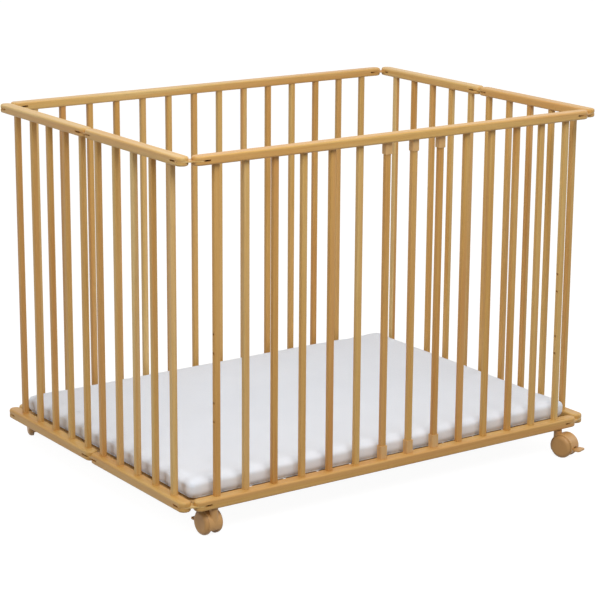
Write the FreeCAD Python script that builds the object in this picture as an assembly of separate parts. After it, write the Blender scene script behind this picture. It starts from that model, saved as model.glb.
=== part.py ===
"""A folding wooden playpen on casters: slatted sides, slip bars, lift-out base and floor pad.

Millimetres, +Z up. X runs along the long sides, Y from the front side to the rear side.
The origin is on the floor, under the middle of the frame.
"""
import FreeCAD, Part

import os

# ---- driving dimensions -------------------------------------------------------------------
LENGTH = 1040.0                # outside, along X
WIDTH = 760.0                  # outside, along Y
FRAME_HEIGHT = 700.0           # underside of the bottom rails to the top of the top rails
CASTER_HEIGHT = 60.0           # floor to the underside of the bottom rails

RAIL_WIDTH = 27.0
TOP_RAIL_THICKNESS = 18.0
BOTTOM_RAIL_THICKNESS = 21.0
RAIL_EDGE_RADIUS = 4.0
SIDE_RAIL_LIFT = 0.5           # the folding sides swing this far above the base ledges

SLAT_ALONG = 13.0              # slat section along its rail
SLAT_ACROSS = 12.0             # slat section across its rail
SLAT_EDGE_RADIUS = 3.0
SLAT_INSET = 17.0              # outer face of the rail to the middle of the slat
TENON = 6.0
TENON_PLAY = 0.1
MORTISE_SPARE = 0.2
LONG_SLATS = 14
LONG_SLAT_PITCH = 67.1
HALF_SLATS = 5
HALF_SLAT_FIRST = 66.8         # corner plane to the middle of the first slat
HALF_SLAT_PITCH = 70.3

LINK_LENGTH = 30.2             # between the pins of a middle link, and along X at a corner
SIDE_END_GAP = 12.0            # outer face of a long rail to the nose of a side rail
LINK_THICKNESS = 3.0
KERF_HEIGHT = 3.6
CORNER_KERF = 33.0             # nose of a rail to the end of its kerf
MIDDLE_KERF = 30.0             # middle of the side to the end of the kerf
CORNER_PLATE_RADIUS = 12.8
MIDDLE_PLATE_RADIUS = 9.5
PIN_RADIUS = 3.0
PIN_PLAY = 0.05                # radial clearance of every running fit
PIN_COVER = 3.0                # wood left above a blind pin hole
PIN_RECESS = 0.5

SLIP_SLATS = (6, 7, 8)         # places of the slip bars, counted from the left
SLEEVE_ALONG = 17.0
SLEEVE_ACROSS = 16.0
TOP_SLEEVE = 24.0
BOTTOM_SLEEVE = 28.0
SLEEVE_EDGE_RADIUS = 3.5
SLIP_PLAY = 0.2
SLIP_TOP_ENGAGEMENT = 9.0
SLIP_BOTTOM_ENGAGEMENT = 10.0
SLIP_SEAT_GAP = 0.1

HEIGHT_HOLE_RADIUS = 3.0
HEIGHT_HOLES = (172.0, 210.0, 310.0, 348.0)   # above the underside of the bottom rail

LEDGE_THICKNESS = 3.0
LEDGE_UNDER_RAIL = 9.0
LEDGE_INBOARD = 22.0
LEDGE_HALF_LENGTH = 480.0
LEDGE_NOTCH_RADIUS = 11.5
LEDGE_SCREWS = (-400.0, -240.0, -80.0, 80.0, 240.0, 400.0)
SCREW_RADIUS = 1.75
SCREW_HEAD_RADIUS = 3.2
SCREW_LENGTH = 15.0

LATHS = 12
LATH_PITCH = 81.8
LATH_WIDTH = 60.0
LATH_THICKNESS = 10.0
LATH_GAP = 3.0                 # lath end to the rail
TAPE_WIDTH = 25.0
TAPE_THICKNESS = 1.0
TAPE_OFFSET = 200.0
PAD_THICKNESS = 41.0
PAD_GAP = 6.0
PAD_CORNER_RADIUS = 8.0
PAD_EDGE_RADIUS = 6.0

STEM_X = 446.0                 # caster stems, from the middle of the long sides
STEM_RADIUS = 4.0
STEM_BOTTOM = 44.5
STEM_END_GAP = 0.5             # stem to the blind end of its socket
SOCKET_RADIUS = 6.0
SOCKET_FLANGE_RADIUS = 9.0
SOCKET_FLANGE = 2.0
SOCKET_DEPTH = 12.5
SOCKET_END = 1.5               # plastic above the blind end
TRAIL = 18.0
WHEEL_RADIUS = 25.0
WHEEL_THICKNESS = 12.5
WHEEL_INSIDE = 9.0             # middle of the caster to the inner face of a wheel
WHEEL_OUTER_ROUND = 8.5
WHEEL_INNER_ROUND = 1.5
AXLE_RADIUS = 3.0
AXLE_HALF_LENGTH = 19.0
AXLE_END_GAP = 0.2
HOOD_RADIUS = 27.0
HOOD_SKIN = 1.6
HOOD_RIM_ROUND = 1.4
HOOD_HALF_WIDTH = 15.5
HOOD_BOTTOM = 14.0
WEB_HALF_WIDTH = 8.2
BOSS_RADIUS = 9.0
BOSS_TOP = 57.0
BRAKE_PIVOT = (39.0, 22.0)     # behind the stem, above the floor
BRAKE_PIN_RADIUS = 1.5
BRAKE_PIN_SHORT = 0.5          # end of a trunnion to the outside of the web
BRAKE_EYE_RADIUS = 2.5
BRAKE_SLOT_FRONT = 5.0         # pivot to the front, top and bottom of the slot
BRAKE_SLOT_TOP = 5.0
BRAKE_SLOT_BOTTOM = 9.0
BRAKE_SLOT_HALF_WIDTH = 5.3
BRAKE_ARM_HALF_WIDTH = 4.8
PEDAL_HALF_WIDTH = 14.0
PEDAL_CORNER_RADIUS = 5.0
PEDAL = (47.3, 62.0, 20.5, 23.5)   # start, end, bottom, top

# caster name: (x sign, y sign, direction the wheels trail in degrees, has a brake)
CASTERS = {
    "front_left": (-1, -1, 92.0, True),
    "front_right": (1, -1, -72.0, True),
    "rear_left": (-1, 1, 70.0, False),
    "rear_right": (1, 1, 174.0, False),
}

# ---- derived levels and places ------------------------------------------------------------
HALF_LENGTH = LENGTH / 2
HALF_WIDTH = WIDTH / 2
RAIL_RADIUS = RAIL_WIDTH / 2
BOTTOM_LOW = CASTER_HEIGHT
BOTTOM_TOP = BOTTOM_LOW + BOTTOM_RAIL_THICKNESS
FRAME_TOP = CASTER_HEIGHT + FRAME_HEIGHT
TOP_LOW = FRAME_TOP - TOP_RAIL_THICKNESS
TOP_KERF = TOP_LOW + TOP_RAIL_THICKNESS / 2
BOTTOM_KERF = BOTTOM_LOW + BOTTOM_RAIL_THICKNESS / 2
LONG_LINE = HALF_WIDTH - RAIL_RADIUS                     # centre line of the long rails
SIDE_LINE = HALF_LENGTH - RAIL_RADIUS                    # centre line of the side rails
LONG_PIN = SIDE_LINE - LINK_LENGTH                       # corner pins in the long rails
SIDE_PIN = LONG_LINE - SIDE_END_GAP                      # corner pins in the side rails
LONG_END = LONG_PIN + RAIL_RADIUS                        # the long rails stop at the side rails
MIDDLE_PIN = LINK_LENGTH / 2
SLAT_SHIFT = SLAT_INSET - RAIL_RADIUS                    # slats sit inboard of that line
INNER_LENGTH = LENGTH - 2 * RAIL_WIDTH
INNER_WIDTH = WIDTH - 2 * RAIL_WIDTH

V = FreeCAD.Vector
UP = V(0, 0, 1)


# ---- shape helpers ------------------------------------------------------------------------
def block(x, y, z):
    """A box from three (low, high) pairs."""
    return Part.makeBox(x[1] - x[0], y[1] - y[0], z[1] - z[0], V(x[0], y[0], z[0]))


def centred_block(x, y, half_x, half_y, z):
    return block((x - half_x, x + half_x), (y - half_y, y + half_y), z)


def rod(x, y, radius, low, high):
    """An upright cylinder."""
    return Part.makeCylinder(radius, high - low, V(x, y, low), UP)


def cross_rod(x, z, radius, low, high):
    """A cylinder along Y."""
    return Part.makeCylinder(radius, high - low, V(x, low, z), V(0, 1, 0))


def upright_edges(shape):
    """Straight edges that run along Z."""
    picked = []
    for edge in shape.Edges:
        ends = [v.Point for v in edge.Vertexes]
        if len(ends) == 2 and (ends[0] - ends[1]).cross(UP).Length < 1e-6:
            picked.append(edge)
    return picked


def edges_at(shape, level):
    """Edges that lie in a horizontal plane."""
    box_of = [(edge, edge.BoundBox) for edge in shape.Edges]
    return [e for e, b in box_of if abs(b.ZMin - level) < 1e-4 and abs(b.ZMax - level) < 1e-4]


def rounded_post(x, y, size_x, size_y, radius, low, high):
    """An upright bar with rounded long edges."""
    post = centred_block(x, y, size_x / 2, size_y / 2, (low, high))
    return post.makeFillet(radius, upright_edges(post))


def round_ended_bar(start, end, radius, low, high):
    """A flat bar between two points in plan, with half-round ends about them."""
    first, last = V(*start, low), V(*end, low)
    along = (last - first).normalize() * radius
    side = V(-along.y, along.x, 0)
    edges = [
        Part.LineSegment(first + side, last + side),
        Part.Arc(last + side, last + along, last - side),
        Part.LineSegment(last - side, first - side),
        Part.Arc(first - side, first - along, first + side),
    ]
    outline = Part.Wire([edge.toShape() for edge in edges])
    return Part.Face(outline).extrude(V(0, 0, high - low))


# ---- rails and slats ----------------------------------------------------------------------
def long_slat_places():
    first = -LONG_SLAT_PITCH * (LONG_SLATS - 1) / 2
    return [first + LONG_SLAT_PITCH * k for k in range(LONG_SLATS)]


def half_slat_places():
    return [HALF_WIDTH - HALF_SLAT_FIRST - HALF_SLAT_PITCH * k for k in range(HALF_SLATS)]


def mortises(places, size_x, size_y, low, high):
    """Pockets for the slat ends, a little larger than the slats."""
    wide_x, wide_y = size_x + 2 * TENON_PLAY, size_y + 2 * TENON_PLAY
    radius = SLAT_EDGE_RADIUS + TENON_PLAY
    return [rounded_post(x, y, wide_x, wide_y, radius, low, high) for x, y in places]


def rail(start, end, top, slats, slat_size, kerfs, low):
    """A rail with round noses about its two end pins, kerfs for the link plates and mortises."""
    high = FRAME_TOP if top else BOTTOM_TOP
    kerf_level = TOP_KERF if top else BOTTOM_KERF
    body = round_ended_bar(start, end, RAIL_RADIUS, low, high)
    outline = edges_at(body, high) + edges_at(body, low)
    body = body.makeFillet(RAIL_EDGE_RADIUS, outline)
    cuts = []
    if top:
        cuts += mortises(slats, *slat_size, low - 1, low + TENON + MORTISE_SPARE)
    else:
        cuts += mortises(slats, *slat_size, high - TENON - MORTISE_SPARE, high + 1)
    for x, y in (start, end):
        cuts.append(rod(x, y, PIN_RADIUS + PIN_PLAY, low - 1, high - PIN_COVER + MORTISE_SPARE))
    half = KERF_HEIGHT / 2
    for x_range, y_range in kerfs:
        cuts.append(block(x_range, y_range, (kerf_level - half, kerf_level + half)))
    return body.cut(cuts)


def long_rail(y_sign, top):
    """A front or rear rail."""
    y = y_sign * LONG_LINE
    slat_y = y_sign * (LONG_LINE - SLAT_SHIFT)
    slats = [(x, slat_y) for x in long_slat_places()]
    across = (y - RAIL_WIDTH, y + RAIL_WIDTH)
    kerf_start = LONG_END - CORNER_KERF
    kerfs = [((-LONG_END, -kerf_start), across), ((kerf_start, LONG_END), across)]
    low = TOP_LOW if top else BOTTOM_LOW
    size = (SLAT_ALONG, SLAT_ACROSS)
    made = rail((-LONG_PIN, y), (LONG_PIN, y), top, slats, size, kerfs, low)
    if top:
        return made
    holes = [rod(s * STEM_X, y, SOCKET_RADIUS, low - 1, low + SOCKET_DEPTH) for s in (-1, 1)]
    screw_y = y_sign * (INNER_WIDTH / 2 + LEDGE_UNDER_RAIL / 2)
    screw_top = low - LEDGE_THICKNESS + SCREW_LENGTH
    holes += [rod(x, screw_y, SCREW_RADIUS, low - 1, screw_top) for x in LEDGE_SCREWS]
    return made.cut(holes)


def half_rail(x_sign, y_sign, top):
    """A rail of one half of a folding side."""
    x = x_sign * SIDE_LINE
    corner_y = y_sign * SIDE_PIN
    end_y = y_sign * (HALF_WIDTH - SIDE_END_GAP)
    middle_y = y_sign * MIDDLE_PIN
    slat_x = x_sign * (SIDE_LINE - SLAT_SHIFT)
    slats = [(slat_x, y_sign * y) for y in half_slat_places()]
    across = (x - RAIL_WIDTH, x + RAIL_WIDTH)
    corner_kerf = sorted((end_y - y_sign * CORNER_KERF, end_y))
    middle_kerf = sorted((0.0, y_sign * MIDDLE_KERF))
    kerfs = [(across, corner_kerf), (across, middle_kerf)]
    low = TOP_LOW if top else BOTTOM_LOW + SIDE_RAIL_LIFT
    size = (SLAT_ACROSS, SLAT_ALONG)
    return rail((x, corner_y), (x, middle_y), top, slats, size, kerfs, low)


def slat(x, y, size_x, size_y):
    low, high = BOTTOM_TOP - TENON, TOP_LOW + TENON
    return rounded_post(x, y, size_x, size_y, SLAT_EDGE_RADIUS, low, high)


def long_slats(y_sign, left_out=()):
    """The fixed slats of a long side; the end ones have the base height holes."""
    y = y_sign * (LONG_LINE - SLAT_SHIFT)
    made = []
    for place, x in enumerate(long_slat_places()):
        if place in left_out:
            continue
        one = slat(x, y, SLAT_ALONG, SLAT_ACROSS)
        if place in (0, LONG_SLATS - 1):
            for height in HEIGHT_HOLES:
                start = V(x - SLAT_ALONG, y, BOTTOM_LOW + height)
                hole = Part.makeCylinder(HEIGHT_HOLE_RADIUS, 2 * SLAT_ALONG, start, V(1, 0, 0))
                one = one.cut(hole)
        made.append(one)
    return made


def half_slats(x_sign, y_sign):
    x = x_sign * (SIDE_LINE - SLAT_SHIFT)
    return [slat(x, y_sign * y, SLAT_ACROSS, SLAT_ALONG) for y in half_slat_places()]


# ---- folding links ------------------------------------------------------------------------
def link_ends(x_sign, y_sign):
    """The two pins of a link: a corner one, or a middle one where y_sign is 0."""
    if y_sign == 0:
        x = x_sign * SIDE_LINE
        return (x, -MIDDLE_PIN), (x, MIDDLE_PIN)
    long_end = (x_sign * LONG_PIN, y_sign * LONG_LINE)
    return long_end, (x_sign * SIDE_LINE, y_sign * SIDE_PIN)


def link_plates(x_sign, y_sign):
    """The two wooden hinge plates of a link, one in the top rails and one in the bottom rails.

    A corner link is held still by its side rail and turns in the long rail.
    """
    ends = link_ends(x_sign, y_sign)
    radius = CORNER_PLATE_RADIUS if y_sign else MIDDLE_PLATE_RADIUS
    plates = []
    for level in (TOP_KERF, BOTTOM_KERF):
        low, high = level - LINK_THICKNESS / 2, level + LINK_THICKNESS / 2
        plate = round_ended_bar(*ends, radius, low, high)
        plates.append(plate.cut([rod(x, y, PIN_RADIUS, low - 1, high + 1) for x, y in ends]))
    return plates


def link_pins(x_sign, y_sign):
    """The four steel pins of a link, tight in its plates and free in the rails."""
    pins = []
    for x, y in link_ends(x_sign, y_sign):
        pins.append(rod(x, y, PIN_RADIUS, TOP_LOW + PIN_RECESS, FRAME_TOP - PIN_COVER))
        bottom = BOTTOM_LOW + SIDE_RAIL_LIFT + PIN_RECESS
        pins.append(rod(x, y, PIN_RADIUS, bottom, BOTTOM_TOP - PIN_COVER))
    return pins


# ---- slip bars ----------------------------------------------------------------------------
def slip_bar_place(place):
    return long_slat_places()[place], -(LONG_LINE - SLAT_SHIFT)


def sleeve(place, top):
    """A plastic end sleeve, pegged into its rail like a slat."""
    x, y = slip_bar_place(place)
    if top:
        low, high = TOP_LOW - TOP_SLEEVE, TOP_LOW
        peg = (high - 1, high + TENON)
        pocket = (low - 1, high - 1)
    else:
        low, high = BOTTOM_TOP, BOTTOM_TOP + BOTTOM_SLEEVE
        peg = (low - TENON, low + 1)
        pocket = (high - SLIP_BOTTOM_ENGAGEMENT, high + 1)
    outside = rounded_post(x, y, SLEEVE_ALONG, SLEEVE_ACROSS, SLEEVE_EDGE_RADIUS, low, high)
    pegged = outside.fuse(
        rounded_post(x, y, SLAT_ALONG, SLAT_ACROSS, SLAT_EDGE_RADIUS, *peg)
    )
    hollow = rounded_post(
        x, y, SLAT_ALONG + 2 * SLIP_PLAY, SLAT_ACROSS + 2 * SLIP_PLAY,
        SLAT_EDGE_RADIUS + SLIP_PLAY, *pocket,
    )
    return pegged.cut(hollow)


def slip_bar(place):
    """A bar that drops into the bottom sleeve and lifts into the top one."""
    x, y = slip_bar_place(place)
    low = BOTTOM_TOP + BOTTOM_SLEEVE - SLIP_BOTTOM_ENGAGEMENT + SLIP_SEAT_GAP
    high = TOP_LOW - TOP_SLEEVE + SLIP_TOP_ENGAGEMENT
    return rounded_post(x, y, SLAT_ALONG, SLAT_ACROSS, SLAT_EDGE_RADIUS, low, high)


# ---- base and pad -------------------------------------------------------------------------
def ledge(y_sign):
    """A steel strip under a long rail, which carries the ends of the base laths."""
    rail_face = INNER_WIDTH / 2
    span = sorted((y_sign * (rail_face + LEDGE_UNDER_RAIL), y_sign * (rail_face - LEDGE_INBOARD)))
    low, high = BOTTOM_LOW - LEDGE_THICKNESS, BOTTOM_LOW
    strip = block((-LEDGE_HALF_LENGTH, LEDGE_HALF_LENGTH), span, (low, high))
    stem_y = y_sign * LONG_LINE
    cuts = [rod(s * STEM_X, stem_y, LEDGE_NOTCH_RADIUS, low - 1, high + 1) for s in (-1, 1)]
    return strip.cut(cuts + ledge_screws(y_sign))


def ledge_screws(y_sign):
    """Countersunk screws, up through the ledge into the rail."""
    y = y_sign * (INNER_WIDTH / 2 + LEDGE_UNDER_RAIL / 2)
    low = BOTTOM_LOW - LEDGE_THICKNESS
    head = SCREW_HEAD_RADIUS - SCREW_RADIUS
    screws = []
    for x in LEDGE_SCREWS:
        cone = Part.makeCone(SCREW_HEAD_RADIUS, SCREW_RADIUS, head, V(x, y, low), UP)
        screws.append(cone.fuse(rod(x, y, SCREW_RADIUS, low + head, low + SCREW_LENGTH)))
    return screws


def base_laths():
    """The cross laths of the roll-up base."""
    first = -LATH_PITCH * (LATHS - 1) / 2
    half = INNER_WIDTH / 2 - LATH_GAP
    level = (BOTTOM_LOW, BOTTOM_LOW + LATH_THICKNESS)
    places = [first + LATH_PITCH * k for k in range(LATHS)]
    return [centred_block(x, 0, LATH_WIDTH / 2, half, level) for x in places]


def base_tapes():
    """The webbing that holds the laths together, stapled under them."""
    half = LATH_PITCH * (LATHS - 1) / 2 + LATH_WIDTH / 2
    level = (BOTTOM_LOW - TAPE_THICKNESS, BOTTOM_LOW)
    places = (-TAPE_OFFSET, TAPE_OFFSET)
    return [centred_block(0, y, half, TAPE_WIDTH / 2, level) for y in places]


def pad():
    """The floor pad, a foam slab in a fabric cover."""
    low = BOTTOM_LOW + LATH_THICKNESS
    high = low + PAD_THICKNESS
    half_x, half_y = INNER_LENGTH / 2 - PAD_GAP, INNER_WIDTH / 2 - PAD_GAP
    slab = centred_block(0, 0, half_x, half_y, (low, high))
    slab = slab.makeFillet(PAD_CORNER_RADIUS, upright_edges(slab))
    return slab.makeFillet(PAD_EDGE_RADIUS, edges_at(slab, low) + edges_at(slab, high))


# ---- casters: modelled with the stem on the origin and the wheels trailing along +X --------
def hood():
    """The one-piece housing: a middle web, two wheel arches and the stem boss."""
    disc = cross_rod(TRAIL, WHEEL_RADIUS, HOOD_RADIUS, -HOOD_HALF_WIDTH, HOOD_HALF_WIDTH)
    rims = [e for e in disc.Edges if e.Curve.TypeId == "Part::GeomCircle"]
    disc = disc.makeFillet(HOOD_RIM_ROUND, rims)
    boss = rod(0, 0, BOSS_RADIUS, WHEEL_RADIUS, BOSS_TOP)
    body = disc.fuse(boss)
    reach = 4 * HOOD_RADIUS
    well = HOOD_RADIUS - HOOD_SKIN
    cuts = [block((-reach, reach), (-reach, reach), (-reach, HOOD_BOTTOM))]
    cuts.append(cross_rod(TRAIL, WHEEL_RADIUS, well, -reach, -WEB_HALF_WIDTH))
    cuts.append(cross_rod(TRAIL, WHEEL_RADIUS, well, WEB_HALF_WIDTH, reach))
    cuts.append(cross_rod(TRAIL, WHEEL_RADIUS, AXLE_RADIUS, -reach, reach))
    cuts.append(rod(0, 0, STEM_RADIUS, STEM_BOTTOM, BOSS_TOP + 1))
    return body.cut(cuts)


def braked_hood():
    """The same housing, with a slot and cross holes for the brake lever."""
    x, z = BRAKE_PIVOT
    slot = block(
        (x - BRAKE_SLOT_FRONT, TRAIL + HOOD_RADIUS + 1),
        (-BRAKE_SLOT_HALF_WIDTH, BRAKE_SLOT_HALF_WIDTH),
        (z - BRAKE_SLOT_BOTTOM, z + BRAKE_SLOT_TOP),
    )
    holes = cross_rod(x, z, BRAKE_PIN_RADIUS + PIN_PLAY, -WEB_HALF_WIDTH, WEB_HALF_WIDTH)
    return hood().cut([slot, holes])


def brake_lever():
    """A foot lever on two trunnions."""
    x, z = BRAKE_PIVOT
    start, end, low, high = PEDAL
    eye = cross_rod(x, z, BRAKE_EYE_RADIUS, -BRAKE_ARM_HALF_WIDTH, BRAKE_ARM_HALF_WIDTH)
    arm = block((x, start + 1), (-BRAKE_ARM_HALF_WIDTH, BRAKE_ARM_HALF_WIDTH), (low, high))
    pedal = block((start, end), (-PEDAL_HALF_WIDTH, PEDAL_HALF_WIDTH), (low, high))
    far = [e for e in upright_edges(pedal) if e.BoundBox.XMin > end - 1]
    pedal = pedal.makeFillet(PEDAL_CORNER_RADIUS, far)
    trunnion = WEB_HALF_WIDTH - BRAKE_PIN_SHORT
    pin = cross_rod(x, z, BRAKE_PIN_RADIUS, -trunnion, trunnion)
    return eye.fuse([arm, pedal, pin]).removeSplitter()


def wheel(side):
    """One wheel with a domed outer face; side is -1 or 1."""
    tread = cross_rod(0, 0, WHEEL_RADIUS, 0, WHEEL_THICKNESS)
    outer = [e for e in tread.Edges if e.BoundBox.YMin > WHEEL_THICKNESS - 0.1]
    tread = tread.makeFillet(WHEEL_OUTER_ROUND, outer)
    inner = [e for e in tread.Edges if e.BoundBox.YMax < 0.1]
    tread = tread.makeFillet(WHEEL_INNER_ROUND, inner)
    bore_end = AXLE_HALF_LENGTH - WHEEL_INSIDE + AXLE_END_GAP
    made = tread.cut(cross_rod(0, 0, AXLE_RADIUS + PIN_PLAY, -1, bore_end))
    if side < 0:
        made = made.mirror(V(0, 0, 0), V(0, 1, 0))
    made.translate(V(TRAIL, side * WHEEL_INSIDE, WHEEL_RADIUS))
    return made


def steel_pins():
    """The stem and the axle."""
    stem_top = CASTER_HEIGHT + SOCKET_DEPTH - SOCKET_END - STEM_END_GAP
    stem = rod(0, 0, STEM_RADIUS, STEM_BOTTOM, stem_top)
    axle = cross_rod(TRAIL, WHEEL_RADIUS, AXLE_RADIUS, -AXLE_HALF_LENGTH, AXLE_HALF_LENGTH)
    return [stem, axle]


def socket(x, y):
    """The flanged bush that the stem turns in."""
    low = CASTER_HEIGHT - SOCKET_FLANGE
    bush = rod(x, y, SOCKET_RADIUS, low, CASTER_HEIGHT + SOCKET_DEPTH)
    flange = rod(x, y, SOCKET_FLANGE_RADIUS, low, CASTER_HEIGHT)
    bore_end = CASTER_HEIGHT + SOCKET_DEPTH - SOCKET_END
    bore = rod(x, y, STEM_RADIUS + PIN_PLAY, low - 1, bore_end)
    return bush.fuse(flange).cut(bore)


def placed(shape, x, y, heading):
    """A caster piece turned to its heading and moved under its stem socket."""
    made = shape.copy()
    made.rotate(V(0, 0, 0), UP, heading)
    made.translate(V(x, y, 0))
    return made


# ---- the whole playpen --------------------------------------------------------------------
def frame_nodes():
    nodes = {}
    for y_sign, side in ((-1, "front"), (1, "rear")):
        slips = SLIP_SLATS if side == "front" else ()
        nodes[side + "_top_rail"] = [long_rail(y_sign, True)]
        nodes[side + "_bottom_rail"] = [long_rail(y_sign, False)]
        nodes[side + "_slats"] = long_slats(y_sign, slips)
        nodes[side + "_base_ledge"] = [ledge(y_sign)]
        nodes[side + "_ledge_screws"] = ledge_screws(y_sign)
        stem_y = y_sign * LONG_LINE
        nodes[side + "_caster_sockets"] = [socket(s * STEM_X, stem_y) for s in (-1, 1)]
    for x_sign, side in ((-1, "left"), (1, "right")):
        for y_sign, half in ((-1, "near"), (1, "far")):
            name = side + "_" + half
            nodes[name + "_top_rail"] = [half_rail(x_sign, y_sign, True)]
            nodes[name + "_bottom_rail"] = [half_rail(x_sign, y_sign, False)]
            nodes[name + "_slats"] = half_slats(x_sign, y_sign)
        for y_sign, corner in ((-1, "front_" + side), (0, side + "_mid"), (1, "rear_" + side)):
            nodes[corner + "_link_plates"] = link_plates(x_sign, y_sign)
            nodes[corner + "_link_pins"] = link_pins(x_sign, y_sign)
    return nodes


def slip_bar_nodes():
    nodes = {
        "slip_bar_top_sleeves": [sleeve(place, True) for place in SLIP_SLATS],
        "slip_bar_bottom_sleeves": [sleeve(place, False) for place in SLIP_SLATS],
    }
    for number, place in enumerate(SLIP_SLATS, start=1):
        nodes[f"slip_bar_{number}"] = [slip_bar(place)]
    return nodes


def caster_nodes():
    nodes = {}
    for name, (x_sign, y_sign, heading, braked) in CASTERS.items():
        pieces = {
            "housing": [braked_hood() if braked else hood()],
            "stem_and_axle": steel_pins(),
            "wheels": [wheel(-1), wheel(1)],
        }
        if braked:
            pieces["brake_lever"] = [brake_lever()]
        x, y = x_sign * STEM_X, y_sign * LONG_LINE
        for piece, shapes in pieces.items():
            turned = [placed(shape, x, y, heading) for shape in shapes]
            nodes[f"caster_{name}_{piece}"] = turned
    return nodes


def soft_nodes():
    return {"base_laths": base_laths(), "base_tapes": base_tapes(), "pad": [pad()]}


def main():
    os.makedirs("parts", exist_ok=True)
    nodes = {**frame_nodes(), **slip_bar_nodes(), **caster_nodes(), **soft_nodes()}
    for name, shapes in nodes.items():
        whole = shapes[0] if len(shapes) == 1 else Part.makeCompound(shapes)
        whole.exportStep(f"parts/{name}.step")
    print(len(nodes), "nodes")


main()
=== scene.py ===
import math

import bmesh
import bpy
import numpy as np
from mathutils import Matrix, Vector
from mathutils.bvhtree import BVHTree
from mathutils.noise import noise


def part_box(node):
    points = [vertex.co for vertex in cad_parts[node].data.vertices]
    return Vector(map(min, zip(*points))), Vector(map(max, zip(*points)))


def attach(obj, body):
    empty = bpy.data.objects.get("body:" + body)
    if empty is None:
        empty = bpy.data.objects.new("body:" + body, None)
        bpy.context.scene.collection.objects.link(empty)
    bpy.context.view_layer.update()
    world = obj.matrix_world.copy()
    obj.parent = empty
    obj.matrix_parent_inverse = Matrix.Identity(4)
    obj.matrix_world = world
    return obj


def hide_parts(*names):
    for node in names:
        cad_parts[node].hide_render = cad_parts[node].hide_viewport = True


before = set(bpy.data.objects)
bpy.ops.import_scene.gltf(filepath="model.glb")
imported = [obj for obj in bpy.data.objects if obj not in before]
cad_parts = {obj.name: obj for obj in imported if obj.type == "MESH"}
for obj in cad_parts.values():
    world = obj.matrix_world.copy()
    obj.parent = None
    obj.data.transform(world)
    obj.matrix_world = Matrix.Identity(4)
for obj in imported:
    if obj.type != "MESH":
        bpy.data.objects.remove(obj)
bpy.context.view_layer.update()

# Spacing of the pieces, which the materials use to give each of them its own tone.
LONG_PITCH = 0.0671
HALF_PITCH = 0.0703
LATH_PITCH = 0.0818
RAIL_MIDDLE_Z = 0.4
WIDE = 10.0

# The pad's fabric shell.
PAD_INSET = 0.0015
PAD_TOP_DROP = 0.003
CORNER_RADIUS = 0.008
EDGE_RADIUS = 0.0075
VOXEL = 0.005
SWELL_FRAMES = 20
SWELL_PRESSURE = 4.0
SWELL_CAP = 0.0055
SIDE_SHARE = 0.5
TUCK_HEIGHT = 0.016
TUCK_DEPTH = 0.007

# Waves, corner tucks and darts in the pad's cover.
WAVE_DEPTH = 0.0010
FINE_WAVE_DEPTH = 0.00035
GATHER_REACH = 0.09
GATHER_DEPTH = 0.0011
GATHER_FADE_BELOW_TOP = 0.03
DART_INWARD = 0.030
DART_RISE = 0.019
DART_FACE_DEPTH = 0.03
DART_REACH = 0.06
DART_SLOPE = (0.75, 0.66)
DART_WIDTH = 0.0030
DART_LENGTH = 0.011
DART_DEPTH = 0.0030
DART_RIPPLE_RADIUS = 0.012
DART_RIPPLE_WIDTH = 0.004
DART_RIPPLE_HEIGHT = 0.0007

# The welt round the pad's bottom edge and the row of stitches above it.
WELT_HEIGHT = 0.0065
WELT_RADIUS = 0.0010
WELT_STEP = 0.006
STITCH_STEP = 0.0055
STITCH_LENGTH = 0.0036
STITCH_RADIUS = 0.00035
STITCH_RISE = 0.0042
SEAM_LENGTH = 3.3
RAY_START = 0.05

# The floor and the world, for the light that they give and for what the camera sees of them.
FLOOR_REACH = 40.0
FLOOR_GREY = 0.28
FLOOR_GLOW = 2.25
FLOOR_GLOW_SHARE = 0.42
WORLD_LIGHT = 0.36
WORLD_SEEN = 1.0


# ---------------------------------------------------------------- materials

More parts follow.
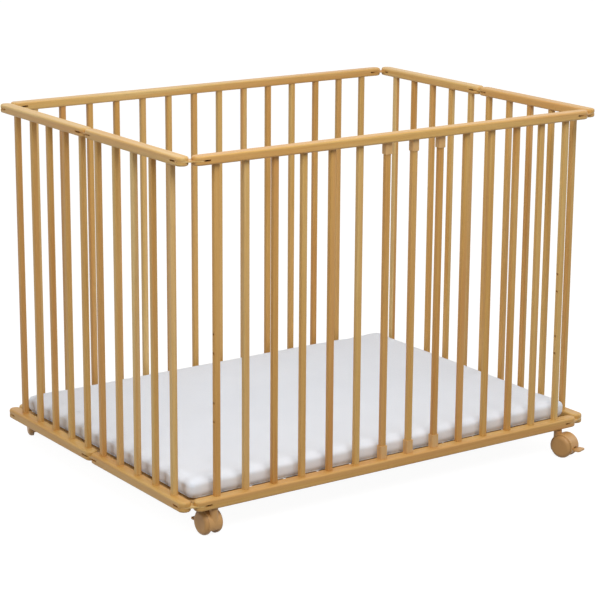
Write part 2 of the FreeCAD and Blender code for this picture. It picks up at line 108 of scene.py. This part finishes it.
class Finish:
    """One procedural material, built node by node in the object's own coordinates."""

    def __init__(self, name, **surface):
        self.material = bpy.data.materials.new(name)
        self.material.use_nodes = True
        self.tree = self.material.node_tree
        self.surface = self.tree.nodes["Principled BSDF"]
        self.place = self.add("ShaderNodeTexCoord").outputs["Object"]
        for key, value in surface.items():
            self.surface.inputs[key.replace("_", " ")].default_value = value

    def add(self, kind, inputs=(), **settings):
        """A new node; inputs is a list of (socket name or number, value or socket)."""
        node = self.tree.nodes.new(kind)
        for key, value in settings.items():
            setattr(node, key, value)
        for key, value in inputs:
            if isinstance(value, bpy.types.NodeSocket):
                self.tree.links.new(value, node.inputs[key])
            else:
                node.inputs[key].default_value = value
        return node

    def math(self, operation, a, b=0.0, clamp=False):
        return self.add(
            "ShaderNodeMath", [(0, a), (1, b)], operation=operation, use_clamp=clamp
        ).outputs[0]

    def vector(self, operation, a, b=(0, 0, 0)):
        return self.add(
            "ShaderNodeVectorMath", [(0, a), (1, b)], operation=operation
        ).outputs[0]

    def noise(self, scale, detail=2.0, place=None, roughness=0.5):
        """Noise with its own scale along x, y and z, in cycles per metre."""
        stretched = self.vector("MULTIPLY", place or self.place, scale)
        return self.add(
            "ShaderNodeTexNoise",
            [("Vector", stretched), ("Scale", 1.0), ("Detail", detail), ("Roughness", roughness)],
        ).outputs["Fac"]

    def levels(self, value, low, high, to_low=0.0, to_high=1.0):
        return self.add(
            "ShaderNodeMapRange",
            [(0, value), (1, low), (2, high), (3, to_low), (4, to_high)],
        ).outputs[0]

    def ramp(self, value, stops):
        node = self.add("ShaderNodeValToRGB", [("Fac", value)])
        elements = node.color_ramp.elements
        while len(elements) < len(stops):
            elements.new(0.5)
        for element, (position, colour) in zip(elements, stops):
            element.position = position
            element.color = rgb(colour)
        return node.outputs["Color"]

    def mix(self, factor, a, b, blend="MIX"):
        return self.add(
            "ShaderNodeMix", [(0, factor), (6, a), (7, b)], data_type="RGBA", blend_type=blend
        ).outputs[2]

    def paint(self, colour, roughness=None):
        self.tree.links.new(colour, self.surface.inputs["Base Color"])
        if roughness is not None:
            self.tree.links.new(roughness, self.surface.inputs["Roughness"])

    def bump(self, height, distance, strength=1.0):
        node = self.add(
            "ShaderNodeBump",
            [("Height", height), ("Distance", distance), ("Strength", strength)],
        )
        self.tree.links.new(node.outputs["Normal"], self.surface.inputs["Normal"])


def rgb(colour):
    """An sRGB colour given as 0 to 255, as the linear RGBA that a socket holds."""
    linear = [((c / 255 + 0.055) / 1.055) ** 2.4 if c > 10 else c / 255 / 12.92 for c in colour]
    return (*linear, 1.0)


BEECH_TONES = (
    (0.12, (194, 137, 68)),
    (0.36, (207, 160, 87)),
    (0.60, (214, 175, 106)),
    (0.88, (228, 198, 140)),
)
PINE_TONES = (
    (0.2, (214, 172, 112)),
    (0.45, (228, 190, 130)),
    (0.65, (238, 205, 150)),
    (0.9, (245, 218, 170)),
)
WARM_TONE = (206, 151, 90)


def wood(name, grain_axis, cell_size, cell_offset=(0, 0, 0), tones=BEECH_TONES, roughness=0.42):
    """Lacquered straight-grained beech. Every piece, told apart by the cell that it stands in,
    has its own tone and its own grain."""
    w = Finish(name, Specular_IOR_Level=0.3, Coat_Weight=0.12, Coat_Roughness=0.25)
    scaled = w.vector("DIVIDE", w.place, cell_size)
    cell = w.vector("FLOOR", w.vector("ADD", scaled, cell_offset))
    white = w.add("ShaderNodeTexWhiteNoise", [("Vector", cell)], noise_dimensions="3D")
    shifted = w.vector(
        "ADD", w.place, w.vector("MULTIPLY", white.outputs["Color"], (7.0, 5.0, 3.0))
    )

    def along(cross, length):
        return tuple(length if axis == grain_axis else cross for axis in range(3))

    broad = w.noise(along(22, 1.6), 2.0, shifted)
    streaks = w.noise(along(150, 2.5), 3.0, shifted, 0.6)
    fibres = w.noise(along(1400, 22), 2.0, shifted)
    tone = w.math("MULTIPLY", broad, 0.75)
    tone = w.math("ADD", tone, w.math("MULTIPLY", streaks, 0.75))
    tone = w.math("ADD", tone, w.math("MULTIPLY", white.outputs["Value"], 0.44))
    tone = w.math("SUBTRACT", tone, 0.47)
    colour = w.ramp(tone, tones)

    flecks = w.add(
        "ShaderNodeTexVoronoi",
        [("Vector", w.vector("MULTIPLY", shifted, along(620, 130))), ("Scale", 1.0)],
    ).outputs["Distance"]
    fleck = w.levels(flecks, 0.10, 0.26, 0.78, 1.0)
    line = w.levels(fibres, 0.30, 0.62, 0.88, 1.04)
    shade = w.math("MULTIPLY", fleck, line)
    colour = w.mix(1.0, colour, shade, "MULTIPLY")
    hue = w.noise(along(60, 1.2), 1.0, shifted)
    warm = w.mix(w.levels(hue, 0.42, 0.7, 0.0, 0.55), colour, rgb(WARM_TONE))
    w.paint(warm, w.levels(fibres, 0.3, 0.7, roughness - 0.06, roughness + 0.08))
    w.bump(w.math("ADD", fibres, w.math("MULTIPLY", streaks, 1.5)), 0.00012, 0.6)
    return w.material


def plastic(name, colour, lighter, roughness):
    """Moulded nylon with a faint mottle and a fine spark-eroded grain."""
    p = Finish(name)
    mottle = p.noise((55, 55, 55), 3.0)
    grain = p.noise((2600, 2600, 2600), 1.0)
    flow = p.noise((160, 160, 30), 2.0)
    tone = p.math("ADD", p.math("MULTIPLY", mottle, 0.7), p.math("MULTIPLY", flow, 0.3))
    p.paint(
        p.ramp(tone, ((0.30, colour), (0.72, lighter))),
        p.levels(grain, 0.3, 0.7, roughness - 0.06, roughness + 0.08),
    )
    p.bump(p.math("ADD", grain, p.math("MULTIPLY", mottle, 0.8)), 0.00008, 0.5)
    return p.material


def metal(name, colour, lighter, roughness, brush=(40, 40, 900)):
    """Zinc-plated or rolled steel with fine drawn lines."""
    m = Finish(name, Metallic=1.0)
    lines = m.noise(brush, 2.0)
    cloud = m.noise((30, 30, 30), 3.0)
    tone = m.math("ADD", m.math("MULTIPLY", lines, 0.5), m.math("MULTIPLY", cloud, 0.5))
    m.paint(
        m.ramp(tone, ((0.3, colour), (0.7, lighter))),
        m.levels(lines, 0.3, 0.7, roughness - 0.08, roughness + 0.1),
    )
    m.bump(lines, 0.00003, 0.4)
    return m.material


def cloth(name, thread, gap_shade_and_dark_tone, yarns_per_metre, depth, roughness=0.85, sheen=0.25):
    """A plain weave: two families of yarns that pass over and under each other, with painted shade
    in the gaps between the yarns.
    """
    c = Finish(name, Sheen_Weight=sheen, Sheen_Roughness=0.5)
    turned = c.vector("MULTIPLY", c.place, (math.pi * yarns_per_metre,) * 3)
    split = c.add("ShaderNodeSeparateXYZ", [(0, turned)])
    x, y, z = (split.outputs[i] for i in range(3))
    across = c.math("ADD", x, z)
    along = c.math("ADD", y, z)
    warp = c.math("ABSOLUTE", c.math("SINE", across))
    weft = c.math("ABSOLUTE", c.math("SINE", along))
    over = c.math("MULTIPLY", c.math("SINE", across), c.math("SINE", along))
    choose = c.levels(over, -0.2, 0.2)
    weave = c.math(
        "ADD",
        c.math("MULTIPLY", warp, choose),
        c.math("MULTIPLY", weft, c.math("SUBTRACT", 1.0, choose)),
    )
    slub = c.noise((320, 320, 320), 2.0)
    cloud = c.noise((9, 9, 9), 2.0)
    # The dark end of the colour ramp is partly painted shade, where the weave term is low in the
    # gaps between the yarns, and partly the yarn's own uneven tone from the slub and cloud terms.
    tone = c.math("ADD", c.math("MULTIPLY", weave, 0.45), c.math("MULTIPLY", slub, 0.3))
    tone = c.math("ADD", tone, c.math("MULTIPLY", cloud, 0.3))
    c.paint(
        c.ramp(tone, ((0.2, gap_shade_and_dark_tone), (0.85, thread))),
        c.levels(slub, 0.3, 0.7, roughness - 0.05, roughness + 0.08),
    )
    c.bump(c.math("ADD", weave, c.math("MULTIPLY", slub, 0.8)), depth, 0.5)
    return c.material


def make_finishes():
    """Every finish that the CAD nodes and the pad use, by name."""
    return {
        "long_rails": wood("beech_long_rails", 0, (WIDE, 0.5, RAIL_MIDDLE_Z), (0.5, 0, 0)),
        "half_rails": wood("beech_half_rails", 1, (1.2, 0.5, RAIL_MIDDLE_Z)),
        "long_slats": wood("beech_long_slats", 2, (LONG_PITCH, 0.5, WIDE), (0, 0, 0.5)),
        "half_slats": wood("beech_half_slats", 2, (0.5, HALF_PITCH, WIDE), (0, 0, 0.5)),
        "link_plates": wood("link_plates", 1, (0.3, 0.3, RAIL_MIDDLE_Z)),
        "laths": wood(
            "pine_laths", 1, (LATH_PITCH, WIDE, WIDE), (0.5, 0.5, 0.5), PINE_TONES, 0.6
        ),
        "steel": metal("zinc_plated_steel", (150, 150, 148), (196, 196, 192), 0.34),
        "ledge_steel": metal("rolled_steel", (120, 118, 114), (160, 158, 154), 0.45, (900, 30, 30)),
        "sleeves": plastic("sleeve_plastic", (206, 160, 100), (217, 176, 118), 0.42),
        "casters": plastic("caster_plastic", (196, 148, 88), (207, 160, 101), 0.40),
        "wheels": plastic("wheel_plastic", (189, 142, 84), (202, 154, 96), 0.46),
        "webbing": cloth("webbing", (216, 206, 184), (150, 138, 112), 620, 0.0004, 0.9, 0.1),
        "fabric": cloth("pad_fabric", (241, 246, 254), (228, 234, 244), 1150, 0.00018),
        "thread": cloth("pad_thread", (236, 236, 238), (205, 205, 208), 2600, 0.0001),
    }


def finish_of(node):
    """Which finish a CAD node gets."""
    if node.startswith("slip_bar_"):
        return "sleeves" if node.endswith("_sleeves") else "long_slats"
    long_side = node.startswith(("front_", "rear_")) and "_link_" not in node
    endings = (
        ("_rail", "long_rails" if long_side else "half_rails"),
        ("_slats", "long_slats" if long_side else "half_slats"),
        ("_link_plates", "link_plates"),
        ("_link_pins", "steel"),
        ("_ledge", "ledge_steel"),
        ("_ledge_screws", "steel"),
        ("_sockets", "casters"),
        ("_housing", "casters"),
        ("_brake_lever", "casters"),
        ("_stem_and_axle", "steel"),
        ("_wheels", "wheels"),
        ("base_laths", "laths"),
        ("base_tapes", "webbing"),
        ("pad", "fabric"),
    )
    return next(finish for ending, finish in endings if node.endswith(ending))


# ---------------------------------------------------------------- the pad

def link(name, mesh):
    made = bpy.data.objects.new(name, mesh)
    bpy.context.scene.collection.objects.link(made)
    return made


def evaluated_mesh(obj):
    """The mesh that an object's modifiers give, as a new mesh."""
    graph = bpy.context.evaluated_depsgraph_get()
    graph.update()
    return bpy.data.meshes.new_from_object(obj.evaluated_get(graph), depsgraph=graph)


def rounded_slab(name, low, high):
    """A foam slab with wide upright corners and softly rounded top and bottom edges."""
    bm = bmesh.new()
    bmesh.ops.create_cube(bm, size=1.0)
    for v in bm.verts:
        v.co = Vector(
            (low[i] + high[i]) / 2 + v.co[i] * (high[i] - low[i]) for i in range(3)
        )
    upright = [e for e in bm.edges if abs(e.verts[0].co.z - e.verts[1].co.z) > 0.01]
    bmesh.ops.bevel(
        bm, geom=upright, offset=CORNER_RADIUS, segments=6, profile=0.5, affect="EDGES"
    )
    flat = [f for f in bm.faces if abs(f.normal.z) > 0.9]
    rims = [e for f in flat for e in f.edges]
    bmesh.ops.bevel(
        bm, geom=rims, offset=EDGE_RADIUS, segments=5, profile=0.5, affect="EDGES"
    )
    mesh = bpy.data.meshes.new(name)
    bm.to_mesh(mesh)
    bm.free()
    return link(name, mesh)


def points_of(mesh):
    flat = np.zeros(len(mesh.vertices) * 3)
    mesh.vertices.foreach_get("co", flat)
    return flat.reshape(-1, 3)


def swell(obj):
    """Blows the cover up a little with a cloth simulation and returns how each point moved."""
    start = points_of(obj.data)
    cover = obj.modifiers.new("cover", "CLOTH")
    cover.settings.quality = 4
    cover.settings.mass = 0.25
    cover.settings.tension_stiffness = 22
    cover.settings.compression_stiffness = 22
    cover.settings.shear_stiffness = 8
    cover.settings.bending_stiffness = 0.6
    cover.settings.use_pressure = True
    cover.settings.uniform_pressure_force = SWELL_PRESSURE
    cover.settings.effector_weights.gravity = 0
    cover.point_cache.frame_start = 1
    cover.point_cache.frame_end = SWELL_FRAMES
    for step in range(1, SWELL_FRAMES + 1):
        bpy.context.scene.frame_set(step)
    swollen = evaluated_mesh(obj)
    moved = points_of(swollen) - start
    bpy.data.meshes.remove(swollen)
    obj.modifiers.remove(cover)
    bpy.context.scene.frame_set(1)
    return moved


def corner_tucks(point, low, high):
    """How far the gathered fabric at the nearest upright corner pushes a point in or out."""
    to_corner = Vector(
        (min(point.x - low[0], high[0] - point.x), min(point.y - low[1], high[1] - point.y))
    )
    reach = to_corner.length
    if reach > GATHER_REACH:
        return 0.0
    around = math.atan2(to_corner.y, to_corner.x)
    fade = (1 - reach / GATHER_REACH) ** 2
    near_top = (point.z - high[2] + GATHER_FADE_BELOW_TOP) / GATHER_FADE_BELOW_TOP
    side = 1.0 - min(1.0, max(0.0, near_top)) * 0.5
    return GATHER_DEPTH * fade * side * math.sin(around * 13 + 0.7 * math.sin(reach * 160))


def dart(inward, rise):
    """How far a slanted dart near an end of a short side pushes a point in or out."""
    inward -= DART_INWARD
    rise -= DART_RISE
    across = inward * DART_SLOPE[0] + rise * DART_SLOPE[1]
    along = inward * -DART_SLOPE[1] + rise * DART_SLOPE[0]
    pull = math.exp(-((across / DART_WIDTH) ** 2) - (along / DART_LENGTH) ** 2)
    from_ring = math.hypot(across, along) - DART_RIPPLE_RADIUS
    ripple = math.exp(-((from_ring / DART_RIPPLE_WIDTH) ** 2))
    return DART_RIPPLE_HEIGHT * ripple - DART_DEPTH * pull


def cover_creases(mesh, low, high):
    """Soft waves in the cover, tucks at the corners and a drawn-in dart beside each of them."""
    mesh.update()
    normals = [v.normal.copy() for v in mesh.vertices]
    for v, normal in zip(mesh.vertices, normals):
        p = v.co
        wave = noise(Vector((p.x * 7, p.y * 7, 0.3))) * WAVE_DEPTH
        wave += noise(Vector((p.x * 19, p.y * 19, 4.1))) * FINE_WAVE_DEPTH
        lift = wave if normal.z > 0.3 else wave * 0.5
        lift += corner_tucks(p, low, high)
        from_end_x = min(p.x - low[0], high[0] - p.x)
        from_end_y = min(p.y - low[1], high[1] - p.y)
        if abs(from_end_x) < DART_FACE_DEPTH and from_end_y < DART_REACH:
            lift += dart(from_end_y, p.z - low[2])
        v.co = p + normal * lift


def tuck_under(mesh, low, high):
    """Draws the cover in towards its bottom edge, where it is pulled round under the foam."""
    for v in mesh.vertices:
        rise = min(1.0, max(0.0, (v.co.z - low[2]) / TUCK_HEIGHT))
        drawn = TUCK_DEPTH * (1 - rise * rise * (3 - 2 * rise))
        for i in range(2):
            middle, half = (low[i] + high[i]) / 2, (high[i] - low[i]) / 2
            v.co[i] = middle + (v.co[i] - middle) * (1 - drawn / half)


def pad_cover():
    """The pad as a closed, crowned fabric form that fills the place of its CAD solid."""
    low, high = (list(corner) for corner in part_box("pad"))
    for i in range(2):
        low[i] += PAD_INSET
        high[i] -= PAD_INSET
    high[2] -= PAD_TOP_DROP
    slab = rounded_slab("pad_slab", low, high)
    remesh = slab.modifiers.new("remesh", "REMESH")
    remesh.mode = "VOXEL"
    remesh.voxel_size = VOXEL
    remesh.use_smooth_shade = True
    cover = link("pad_cover", evaluated_mesh(slab))
    bpy.data.objects.remove(slab)

    moved = swell(cover)
    size = np.linalg.norm(moved, axis=1, keepdims=True) + 1e-9
    moved *= np.tanh(size / SWELL_CAP) * SWELL_CAP / size
    moved[:, :2] *= SIDE_SHARE
    points = points_of(cover.data) + moved
    points[:, 2] = np.maximum(points[:, 2], low[2])
    cover.data.vertices.foreach_set("co", points.ravel())
    cover_creases(cover.data, low, high)
    tuck_under(cover.data, low, high)
    for v in cover.data.vertices:
        v.co.z = max(v.co.z, low[2])
    smooth = cover.modifiers.new("smooth", "SUBSURF")
    smooth.levels = smooth.render_levels = 1
    return cover


def perimeter(cover, height, count):
    """Points and outward normals round a cover's side at one height."""
    bpy.context.view_layer.update()
    graph = bpy.context.evaluated_depsgraph_get()
    tree = BVHTree.FromObject(cover, graph)
    low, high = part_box("pad")
    half_x, half_y = (high.x - low.x) / 2, (high.y - low.y) / 2
    flat_x, flat_y = half_x - CORNER_RADIUS, half_y - CORNER_RADIUS
    arc = math.pi / 2 * CORNER_RADIUS
    runs = [2 * flat_y, arc, 2 * flat_x, arc, 2 * flat_y, arc, 2 * flat_x, arc]
    total = sum(runs)
    found = []
    for k in range(count):
        s = total * k / count
        run = 0
        while s > runs[run]:
            s -= runs[run]
            run += 1
        turn = (run // 2) * math.pi / 2
        if run % 2 == 0:
            reach, flat = (half_x, flat_y) if run % 4 == 0 else (half_y, flat_x)
            local, heading = Vector((reach, s - flat, 0)), 0.0
        else:
            heading = s / CORNER_RADIUS
            corner = (flat_x, flat_y) if run % 4 == 1 else (flat_y, flat_x)
            local = Vector(
                (
                    corner[0] + CORNER_RADIUS * math.cos(heading),
                    corner[1] + CORNER_RADIUS * math.sin(heading),
                    0,
                )
            )
        spin = Matrix.Rotation(turn, 3, "Z")
        outward = spin @ Vector((math.cos(heading), math.sin(heading), 0))
        origin = spin @ local + outward * RAY_START + Vector((0, 0, height))
        hit, normal, _, _ = tree.ray_cast(origin, -outward)
        if hit is None:
            hit, normal, _, _ = tree.find_nearest(origin - outward * RAY_START)
        found.append((hit, normal))
    return found


def tube(name, path, radius, sides=8):
    """A closed tube along a ring of points."""
    bm = bmesh.new()
    rings = []
    count = len(path)
    for k in range(count):
        here = path[k]
        ahead = (path[(k + 1) % count] - path[k - 1]).normalized()
        out = ahead.cross(Vector((0, 0, 1))).normalized()
        up = out.cross(ahead)
        rings.append(
            [
                bm.verts.new(here + (out * math.cos(a) + up * math.sin(a)) * radius)
                for a in (2 * math.pi * i / sides for i in range(sides))
            ]
        )
    for k in range(count):
        a, b = rings[k], rings[(k + 1) % count]
        for i in range(sides):
            face = bm.faces.new((a[i], a[(i + 1) % sides], b[(i + 1) % sides], b[i]))
            face.smooth = True
    bmesh.ops.recalc_face_normals(bm, faces=bm.faces)
    mesh = bpy.data.meshes.new(name)
    bm.to_mesh(mesh)
    bm.free()
    return link(name, mesh)


def stitches(name, row, length, radius):
    """Short thread stitches that sit half sunk in the cover, one after another."""
    bm = bmesh.new()
    count = len(row)
    for k in range(count):
        here, normal = row[k]
        ahead = (row[(k + 1) % count][0] - row[k - 1][0]).normalized()
        side = normal.cross(ahead).normalized()
        turn = Matrix((ahead, side, normal)).transposed().to_4x4()
        stretch = Matrix.Diagonal((length / 2, radius, radius, 1))
        place = Matrix.Translation(here + normal * radius * 0.35) @ turn @ stretch
        bmesh.ops.create_icosphere(bm, subdivisions=1, radius=1.0, matrix=place)
    for face in bm.faces:
        face.smooth = True
    mesh = bpy.data.meshes.new(name)
    bm.to_mesh(mesh)
    bm.free()
    return link(name, mesh)


def make_pad(finishes):
    cover = pad_cover()
    low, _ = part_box("pad")
    ring = perimeter(cover, low.z + WELT_HEIGHT, int(SEAM_LENGTH / WELT_STEP))
    welt = tube("pad_welt", [hit for hit, _ in ring], WELT_RADIUS)
    row = perimeter(cover, low.z + WELT_HEIGHT + STITCH_RISE, int(SEAM_LENGTH / STITCH_STEP))
    seam = stitches("pad_seam_stitches", row, STITCH_LENGTH, STITCH_RADIUS)
    for piece, finish in ((cover, "fabric"), (welt, "fabric"), (seam, "thread")):
        piece.data.materials.clear()
        piece.data.materials.append(finishes[finish])
        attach(piece, "pad")
    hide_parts("pad")


# ---------------------------------------------------------------- the setting

def make_floor():
    """A plain pale floor that fills the view; what it shows the camera is lifted to white."""
    bm = bmesh.new()
    signs = ((-1, -1), (1, -1), (1, 1), (-1, 1))
    bm.faces.new([bm.verts.new((x * FLOOR_REACH, y * FLOOR_REACH, 0.0)) for x, y in signs])
    mesh = bpy.data.meshes.new("floor")
    bm.to_mesh(mesh)
    bm.free()
    floor = link("floor", mesh)
    f = Finish("floor_paper", Roughness=0.9, Specular_IOR_Level=0.1)
    f.surface.inputs["Base Color"].default_value = (FLOOR_GREY, FLOOR_GREY, FLOOR_GREY, 1)
    glow = f.add("ShaderNodeEmission", [("Color", (1, 1, 1, 1)), ("Strength", FLOOR_GLOW)])
    rays = f.add("ShaderNodeLightPath")
    seen = f.math("MAXIMUM", rays.outputs["Is Camera Ray"], rays.outputs["Is Glossy Ray"])
    seen = f.math("MAXIMUM", seen, rays.outputs["Is Transmission Ray"])
    share = f.math("MULTIPLY", seen, FLOOR_GLOW_SHARE)
    blend = f.add(
        "ShaderNodeMixShader",
        [(0, share), (1, f.surface.outputs[0]), (2, glow.outputs[0])],
    )
    f.tree.links.new(blend.outputs[0], f.tree.nodes["Material Output"].inputs["Surface"])
    mesh.materials.append(f.material)


def make_world():
    """Even pale light from all round, seen as white."""
    world = bpy.data.worlds.new("studio")
    world.use_nodes = True
    tree = world.node_tree
    background = tree.nodes["Background"]
    rays = tree.nodes.new("ShaderNodeLightPath")
    first = tree.nodes.new("ShaderNodeMath")
    second = tree.nodes.new("ShaderNodeMath")
    strength = tree.nodes.new("ShaderNodeMapRange")
    first.operation = second.operation = "MAXIMUM"
    tree.links.new(rays.outputs["Is Camera Ray"], first.inputs[0])
    tree.links.new(rays.outputs["Is Glossy Ray"], first.inputs[1])
    tree.links.new(first.outputs[0], second.inputs[0])
    tree.links.new(rays.outputs["Is Transmission Ray"], second.inputs[1])
    tree.links.new(second.outputs[0], strength.inputs[0])
    strength.inputs[3].default_value = WORLD_LIGHT
    strength.inputs[4].default_value = WORLD_SEEN
    tree.links.new(strength.outputs[0], background.inputs["Strength"])
    background.inputs["Color"].default_value = (1, 1, 1, 1)
    bpy.context.scene.world = world


def softbox(name, place, aim, size, power):
    lamp = bpy.data.lights.new(name, "AREA")
    lamp.shape = "RECTANGLE"
    lamp.size, lamp.size_y = size
    lamp.energy = power
    made = bpy.data.objects.new(name, lamp)
    made.location = place
    made.rotation_euler = (Vector(aim) - Vector(place)).to_track_quat("-Z", "Y").to_euler()
    bpy.context.scene.collection.objects.link(made)


def make_lights():
    softbox("key", (-0.7, -1.9, 2.4), (0.0, 0.0, 0.5), (1.8, 1.4), 44)
    softbox("top", (0.3, 0.6, 2.9), (0.0, 0.0, 0.1), (2.4, 2.0), 21)
    softbox("fill", (3.2, -1.2, 1.9), (0.0, 0.0, 0.4), (1.8, 1.8), 18)
    softbox("left", (-3.0, 0.2, 1.6), (0.0, 0.0, 0.4), (1.6, 1.6), 16)


def make_camera():
    """The camera stands to the left of the front, above the top rails, and looks down."""
    place = Vector((-2.48617, -3.59608, 1.47835))
    yaw, pitch, roll = 0.6056, 0.25559, 0.00667
    focal_pixels, long_side_pixels, sensor = 2074.5, 598, 36.0
    right = Vector((math.cos(yaw), -math.sin(yaw), 0))
    ahead = Vector((math.sin(yaw), math.cos(yaw), 0))
    up = Vector((0, 0, 1))
    forward = ahead * math.cos(pitch) - up * math.sin(pitch)
    tilted_up = up * math.cos(pitch) + ahead * math.sin(pitch)
    axis_x = right * math.cos(roll) + tilted_up * math.sin(roll)
    axis_y = -right * math.sin(roll) + tilted_up * math.cos(roll)
    data = bpy.data.cameras.new("camera")
    data.sensor_width = sensor
    data.lens = focal_pixels / long_side_pixels * sensor
    data.clip_end = 200
    camera = bpy.data.objects.new("camera", data)
    turn = Matrix((axis_x, axis_y, -forward)).transposed().to_4x4()
    camera.matrix_world = Matrix.Translation(place) @ turn
    bpy.context.scene.collection.objects.link(camera)
    bpy.context.scene.camera = camera


make_camera()
make_floor()
make_world()
make_lights()

finishes = make_finishes()
for name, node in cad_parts.items():
    for material_slot in node.material_slots:
        material_slot.material = finishes[finish_of(name)]
make_pad(finishes)

bpy.context.scene.view_settings.view_transform = "Standard"
